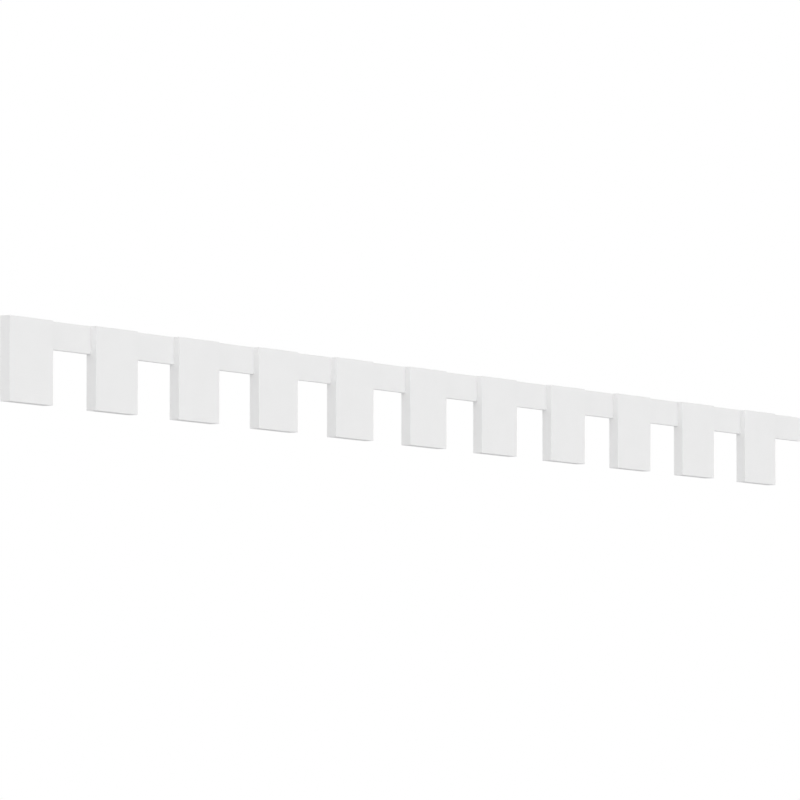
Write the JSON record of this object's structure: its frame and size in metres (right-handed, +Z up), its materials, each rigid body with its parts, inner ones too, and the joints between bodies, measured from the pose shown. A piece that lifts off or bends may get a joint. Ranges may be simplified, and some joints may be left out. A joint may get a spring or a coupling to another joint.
{
  "type": "dentil moulding",
  "caption": "Straight dentil moulding: a thin strip with a row of flat square-edged blocks that stand forward of it and hang below it, to be fixed by its flat back.",
  "frame": {"origin": "on the flat back, at half the length and half the height of the strip between the blocks", "axes": "+X along the length, from the end cut at a block towards the end of bare strip; +Y out of the back, into the wall; +Z up, with the blocks hanging down and their faces looking to -Y"},
  "size_m": [2.44, 0.016, 0.1191],
  "materials": {
    "white_finish": "plain white, matt to satin, unpainted and unmarked"
  },
  "bodies": {
    "root": {"dentil_moulding": "white_finish"}
  },
  "joints": []
}
